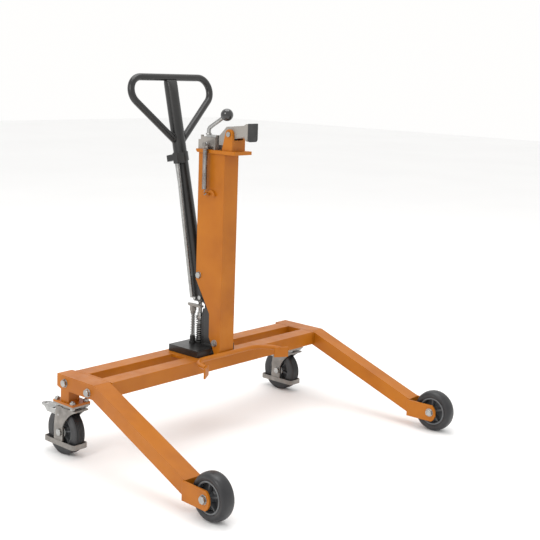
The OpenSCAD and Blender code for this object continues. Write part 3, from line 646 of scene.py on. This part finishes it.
def build_front_wheel(side, s):
    centre = Vector((BEND_X + AXLE_RUN * math.cos(SPLAY) + 0.025 * math.sin(SPLAY),
                     s * (ARM_OUT + AXLE_RUN * math.sin(SPLAY) - 0.025 * math.cos(SPLAY)), FRONT_AXLE_Z))
    out = Vector((-math.sin(SPLAY), s * math.cos(SPLAY), 0.0))
    place = along(centre, out)
    body = side + "_front_wheel"

    half = smooth_profile([(0.0402, 0.0168), (0.0415, 0.0182), (0.0443, 0.0188), (0.0467, 0.0198),
                           (0.0505, 0.0199), (0.0543, 0.0182), (0.0573, 0.0140), (0.0590, 0.0080),
                           (0.05949, 0.0)], 2)
    bm = bmesh.new()
    ring_profile(bm, both_ways(half[:-1]), place)
    obj = make_object(side + "_front_tyre_rubber", bm, "tyre_rubber", body, weighted=False)
    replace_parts(obj, side + "_front_tyre")

    bm = bmesh.new()
    rim = [(0.0401, 0.0150), (0.0401, 0.0172), (0.0388, 0.0180), (0.0362, 0.0176), (0.0350, 0.0150),
           (0.0344, 0.0040)]
    ring_profile(bm, both_ways(rim), place)
    make_object(side + "_front_rim", bm, "rim_plastic", body)

    bm = bmesh.new()
    turned(bm, [(0.0062, -0.0228), (0.0105, -0.0228), (0.0120, -0.0218), (0.0136, -0.0060), (0.0160, -0.0034),
                (0.0320, -0.0030), (0.0344, -0.0046), (0.0344, 0.0046), (0.0320, 0.0030), (0.0160, 0.0034),
                (0.0136, 0.0060), (0.0120, 0.0218), (0.0105, 0.0228), (0.0062, 0.0228)], place, 96)
    for k in range(5):
        spoke = place @ Matrix.Rotation(2 * math.pi * k / 5 + 0.31, 4, "Z")
        for face in (1, -1):
            v = []
            for x, w, z in ((0.0118, 0.0034, 0.0030), (0.0348, 0.0026, 0.0030),
                            (0.0348, 0.0020, 0.0128), (0.0118, 0.0026, 0.0168)):
                v.append((bm.verts.new(spoke @ Vector((x, -w, face * z))),
                          bm.verts.new(spoke @ Vector((x, w, face * z)))))
            for i, j in ((1, 2), (2, 3), (3, 0)):
                bm.faces.new((v[i][0], v[i][1], v[j][1], v[j][0]))
            bm.faces.new([p[0] for p in v])
            bm.faces.new([p[1] for p in reversed(v)])
    bevel_sharp(bm, 0.0005, 2, 40.0)
    obj = make_object(side + "_front_hub_core", bm, "hub_plastic", body)
    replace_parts(obj, side + "_front_hub")


def build_caster_wheel(side, s):
    place = along(Vector((CASTER_AXLE[0], s * CASTER_AXLE[1], CASTER_AXLE[2])), Vector((0.0, s, 0.0)))
    body = side + "_caster_wheel"
    crown = []
    for i in range(3):
        z = 0.0110 - i * 0.0044
        crown += [(0.06345, z + 0.0013), (0.06345, z + 0.0004), (0.0619, z), (0.0619, z - 0.0008),
                  (0.06348, z - 0.0012)]
    half = smooth_profile([(0.0402, 0.0140), (0.0412, 0.0150), (0.0470, 0.0153), (0.0560, 0.0155),
                           (0.0600, 0.0151), (0.0625, 0.0138)], 2) + crown
    half = [p for p in half if p[1] > 0.0004]
    bm = bmesh.new()
    ring_profile(bm, both_ways(half), place)
    obj = make_object(side + "_caster_tyre_rubber", bm, "tyre_rubber", body, angle=45.0,
                      weighted=False)
    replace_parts(obj, side + "_caster_tyre")

    bm = bmesh.new()
    rim = [(0.0401, 0.0120), (0.0401, 0.0136), (0.0392, 0.0142), (0.0366, 0.0138), (0.0356, 0.0120),
           (0.0350, 0.0040)]
    ring_profile(bm, both_ways(rim), place)
    turned(bm, [(0.0062, -0.0164), (0.0100, -0.0164), (0.0118, -0.0150), (0.0128, -0.0050), (0.0150, -0.0028),
                (0.0335, -0.0024), (0.0350, -0.0040), (0.0350, 0.0040), (0.0335, 0.0024), (0.0150, 0.0028),
                (0.0128, 0.0050), (0.0118, 0.0150), (0.0100, 0.0164), (0.0062, 0.0164)], place, 96)
    for k in range(6):
        spoke = place @ Matrix.Rotation(2 * math.pi * k / 6 + 0.2, 4, "Z")
        for face in (1, -1):
            v = []
            for x, w, z in ((0.0112, 0.0030, 0.0022), (0.0358, 0.0024, 0.0022),
                            (0.0358, 0.0018, 0.0100), (0.0112, 0.0022, 0.0124)):
                v.append((bm.verts.new(spoke @ Vector((x, -w, face * z))),
                          bm.verts.new(spoke @ Vector((x, w, face * z)))))
            for i, j in ((1, 2), (2, 3), (3, 0)):
                bm.faces.new((v[i][0], v[i][1], v[j][1], v[j][0]))
            bm.faces.new([p[0] for p in v])
            bm.faces.new([p[1] for p in reversed(v)])
    bevel_sharp(bm, 0.0004, 2, 40.0)
    obj = make_object(side + "_caster_hub_core", bm, "hub_plastic", body)
    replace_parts(obj, side + "_caster_hub")

    bm = bmesh.new()
    for way in (1, -1):
        cap = along(place.translation, Vector((0.0, way, 0.0)))
        turned(bm, [(0.0070, 0.0158), (0.0160, 0.0158), (0.0170, 0.0161), (0.0170, 0.0166), (0.0162, 0.0170),
                    (0.0110, 0.0169), (0.0095, 0.0166), (0.0070, 0.0166)], cap, 64)
    make_object(side + "_caster_dust_caps", bm, "zinc", body)

    bm = bmesh.new()
    for way in (1, -1):
        y = s * CASTER_AXLE[1] + way * 0.0222
        weld_bead(bm, [(-0.297, y, 0.0402), (-0.2795, y, 0.0402), (-0.263, y, 0.0402)], 0.0015)
    make_object(side + "_guard_welds", bm, "grey_cast", side + "_caster")


# ---------- bolts ----------

def leg_point(along_leg, y, z, s):
    """A point on the splayed leg, given as if the leg ran straight ahead."""
    dx, dy = along_leg - BEND_X, y - ARM_OUT
    return Vector((BEND_X + dx * math.cos(SPLAY) - dy * math.sin(SPLAY),
                   s * (ARM_OUT + dx * math.sin(SPLAY) + dy * math.cos(SPLAY)), z))


def build_bolts():
    bm = bmesh.new()
    for s in (1, -1):
        for x, z, spin in ((-0.2505, 0.2045, 0.25), (-0.1535, 0.2000, 0.9)):
            at = Vector((x, s * ARM_OUT, z))
            shaft(bm, at - Vector((0, s * 0.056, 0)), at, 0.006)
            washer(bm, at, (0, s, 0), 0.0115, 0.0016)
            hex_head(bm, at + Vector((0, s * 0.0016, 0)), (0, s, 0), 0.018, 0.0066, spin)
    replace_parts(make_object("arm_bolt_set", bm, "zinc", "frame"), "arm_bolts")

    bm = bmesh.new()
    for s in (1, -1):
        for dx in (-0.033, 0.033):
            for dy in (-0.0225, 0.0225):
                at = Vector((CASTER_X + dx, s * CASTER_AXLE[1] + dy, 0.147))
                hex_head(bm, at - Vector((0, 0, 0.0052)), (0, 0, -1), 0.013, 0.0046, dx * 40)
                shaft(bm, at - Vector((0, 0, 0.0052)), at + Vector((0, 0, 0.0065)), 0.0040)
                washer(bm, at + Vector((0, 0, 0.006)), (0, 0, 1), 0.0080, 0.0010)
                hex_head(bm, at + Vector((0, 0, 0.0070)), (0, 0, 1), 0.013, 0.0056, dy * 60)
                thread_end(bm, at + Vector((0, 0, 0.0105)), (0, 0, 1), 0.0039, 0.0042)
    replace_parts(make_object("caster_bolt_set", bm, "zinc", "frame"), "caster_bolts")

    bm = bmesh.new()
    for s in (1, -1):
        x = BEND_X + AXLE_RUN
        inner, outer = leg_point(x, 0.412, FRONT_AXLE_Z, s), leg_point(x, 0.474, FRONT_AXLE_Z, s)
        out = (outer - inner).normalized()
        shaft(bm, inner - out * 0.002, outer + out * 0.002, 0.006)
        for at, way, spin in ((outer, out, 0.4), (inner, -out, 0.1)):
            washer(bm, at, way, 0.0120, 0.0012)
            hex_head(bm, at + way * 0.0012, way, 0.0185, 0.0064, spin)
    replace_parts(make_object("front_axle_bolts", bm, "zinc", "frame"), "front_axles")

    for side, s in SIDES:
        bm = bmesh.new()
        ax = Vector((CASTER_AXLE[0], s * CASTER_AXLE[1], CASTER_AXLE[2]))
        shaft(bm, ax - Vector((0, 0.028, 0)), ax + Vector((0, 0.028, 0)), 0.006)
        for way in (1, -1):
            out = Vector((0, way, 0))
            washer(bm, ax + out * 0.0172, out, 0.009, 0.0012)
            hex_head(bm, ax + out * 0.0226, out, 0.018, 0.0062, 0.3 * way)
        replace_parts(make_object(side + "_caster_axle_bolt", bm, "zinc", side + "_caster"),
                    side + "_caster_axle")

    bm = bmesh.new()
    for x, z in ((-0.1975, 0.452), (-0.126, 0.262)):
        shaft(bm, (x, -0.029, z), (x, 0.029, z), 0.005)
        for way in (1, -1):
            washer(bm, Vector((x, way * 0.0285, z)), (0, way, 0), 0.0100, 0.0012)
            hex_head(bm, Vector((x, way * 0.0297, z)), (0, way, 0), 0.017, 0.0046, 0.5)
    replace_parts(make_object("guide_bolt_set", bm, "zinc", "carriage"), "guide_bolts")

    bm = bmesh.new()
    at = Vector((-0.093, 0.0, 0.870))
    shaft(bm, at - Vector((0, 0.028, 0)), at + Vector((0, 0.028, 0)), 0.005)
    for way in (1, -1):
        hex_head(bm, at + Vector((0, way * 0.0266, 0)), (0, way, 0), 0.014, 0.0046, 0.2)
    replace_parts(make_object("beak_pin_bolt", bm, "zinc", "carriage"), "beak_pin")


# ---------- small round parts ----------

def build_cradle_bar():
    r, bend, y0, bar_x, z = 0.060, math.radians(72), 0.090, -0.098, 0.233
    half = [(bar_x, y0 * i / 6) for i in range(6)]
    half += [(bar_x + r - r * math.cos(a), y0 + r * math.sin(a)) for a in (bend * i / 24 for i in range(25))]
    tip = half[-1]
    half.append((tip[0] + 0.0265 * math.sin(bend), tip[1] + 0.0265 * math.cos(bend)))
    path = [(x, -y, z) for x, y in reversed(half)] + [(x, y, z) for x, y in half[1:]]
    bm = bmesh.new()
    sweep(bm, path, 0.007, 28)
    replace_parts(make_object("cradle_bar_rod", bm, "orange", "carriage"), "cradle_bar")


def build_knob_lever():
    x, y, seat = -0.180, -0.019, 0.858
    rise, r, reach = math.radians(30.5), 0.012, 0.064
    top = 0.8754
    path = [(x, y, seat - 0.019), (x, y, seat + 0.006), (x, y, seat + 0.014)]
    path += [(x + r - r * math.cos(a), y, top + r * math.sin(a))
             for a in ((math.pi / 2 - rise) * i / 14 for i in range(15))]
    ex, ez = path[-1][0], path[-1][2]
    path += [(ex + reach * f * math.cos(rise), y, ez + reach * f * math.sin(rise)) for f in (0.5, 1.0)]
    bm = bmesh.new()
    sweep(bm, path, 0.00575, 24)
    place = along(Vector((x, y, seat + 0.006)), (0, 0, 1))
    turned(bm, [(0.0, 0.0), (0.0085, 0.0), (0.0085, 0.0030), (0.0075, 0.0046), (0.0057, 0.0052)], place, 48)
    rod = make_object("knob_lever_rod", bm, "zinc", "knob_lever")
    bm = bmesh.new()
    length, half = 0.040, 0.011
    cx = x + 0.018
    outline = []
    for qx, qy, start in ((1, 1, 0), (-1, 1, 1), (-1, -1, 2), (1, -1, 3)):
        for i in range(7):
            a = math.pi / 2 * (start + i / 6)
            outline.append((cx + qx * (length / 2 - 0.006) + 0.006 * math.cos(a),
                            y + qy * (half - 0.006) + 0.006 * math.sin(a)))
    low = [bm.verts.new((px, py, seat)) for px, py in outline]
    high = [bm.verts.new((px, py, seat + 0.006)) for px, py in outline]
    bm.faces.new(list(reversed(low)))
    bm.faces.new(high)
    for k in range(len(low)):
        n = (k + 1) % len(low)
        bm.faces.new((low[k], low[n], high[n], high[k]))
    bevel_sharp(bm, 0.0008, 2, 50.0)
    make_object("knob_lever_plate", bm, "zinc", "knob_lever")
    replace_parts(rod, "knob_lever")
    knob = Vector((ex + 0.075 * math.cos(rise), y, ez + 0.075 * math.sin(rise)))
    way = Vector((math.cos(rise), 0.0, math.sin(rise)))
    bm = bmesh.new()
    ball = 0.018
    profile = [(0.0058, -0.0170), (0.0072, -0.0167)]
    profile += [(ball * math.sin(a), -ball * math.cos(a)) for a in
                (math.radians(26) + (math.pi - math.radians(26)) * i / 30 for i in range(31))]
    profile[-1] = (0.0, ball)
    turned(bm, profile, along(knob, way), 64)
    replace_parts(make_object("ball_knob_grip", bm, "knob_plastic", "knob_lever",
                            weighted=False), "ball_knob")


def build_pump_details():
    x = -0.2165
    bm = bmesh.new()
    place = along(Vector((x, 0, 0)), (0, 0, 1))
    turned(bm, [(0.0, 0.259), (0.0058, 0.259), (0.006, 0.260), (0.006, 0.3165), (0.0120, 0.3168),
                (0.0128, 0.3176), (0.0128, 0.3242), (0.0120, 0.3250), (0.0092, 0.3252), (0.0090, 0.3335),
                (0.0080, 0.3340), (0.0060, 0.3342), (0.0060, 0.3640), (0.0078, 0.3646), (0.0085, 0.3656),
                (0.0085, 0.3696), (0.0070, 0.3705), (0.0, 0.3706)], place, 64)
    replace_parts(make_object("pump_plunger_rod", bm, "zinc", "pump_plunger"), "pump_plunger")
    bm = bmesh.new()
    outline = [(-0.202, 0.245), (-0.185, 0.245), (-0.185, 0.253), (-0.179, 0.253), (-0.179, 0.350),
               (-0.196, 0.350), (-0.202, 0.315)]
    near = [bm.verts.new((px, -0.009, pz)) for px, pz in outline]
    far = [bm.verts.new((px, 0.017, pz)) for px, pz in outline]
    bm.faces.new(near)
    bm.faces.new(list(reversed(far)))
    for k in range(len(near)):
        n = (k + 1) % len(near)
        bm.faces.new((near[k], far[k], far[n], near[n]))
    bevel_sharp(bm, 0.0009, 2)
    turned(bm, [(0.0, 0.245), (0.0188, 0.245), (0.019, 0.2456), (0.019, 0.2492), (0.0182, 0.250),
                (0.0095, 0.250), (0.0085, 0.2510), (0.0085, 0.2990), (0.0078, 0.3000), (0.0064, 0.3000),
                (0.0061, 0.2990), (0.0061, 0.2480), (0.0, 0.2475)], place, 64)
    valve = along(Vector((-0.224, -0.022, 0)), (0, 0, 1))
    turned(bm, [(0.0, 0.245), (0.0100, 0.245), (0.0100, 0.2495), (0.0083, 0.2505), (0.0083, 0.2652),
                (0.0076, 0.2660), (0.0037, 0.2660), (0.0037, 0.2490), (0.0, 0.2485)], valve, 48)
    box(bm, (-0.230, -0.022, 0.2455), (-0.216, -0.0075, 0.2496))
    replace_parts(make_object("pump_body_casting", bm, "black_paint", "frame"), "pump_body")


bpy.context.scene.view_settings.view_transform = "Standard"
make_camera()
make_stage()
area_light("key", (0.2, -3.6, 2.9), (-0.1, 0.0, 0.5), (1.8, 1.8), 48.0, (1.0, 0.985, 0.96))
area_light("top", (-0.4, 0.3, 3.8), (0.0, 0.0, 0.3), (2.6, 2.6), 60.0)

# ---------- pieces ----------

for node in frame["nodes"]:
    repaint(node)

for node in ("left_arm", "right_arm", "front_crossbeam", "rear_crossbeam"):
    softened(node, 3.2, 3)
softened("column", 2.2, 3)
for node in ("frame_plates", "fork_plates", "top_plate", "pivot_bracket", "cradle_pads",
             "caster_posts", "spring_lug", "pump_base"):
    softened(node, 0.9, 2)
for node in ("beak", "clamp_housing"):
    softened(node, 1.8, 3)
for node in ("jaw_pad", "left_swivel_fork", "right_swivel_fork", "left_toe_guard", "right_toe_guard",
             "left_brake_pedal", "right_brake_pedal", "caster_heads", "pump_yoke", "handle_socket",
             "release_collar", "release_lever", "inner_mast"):
    softened(node, 0.7, 2)

build_hand_loop()
build_handle_tube()
build_release_rod()
build_springs()
build_hook_spring()
for side, s in SIDES:
    build_front_wheel(side, s)
    build_caster_wheel(side, s)
build_bolts()
build_cradle_bar()
build_knob_lever()
build_pump_details()
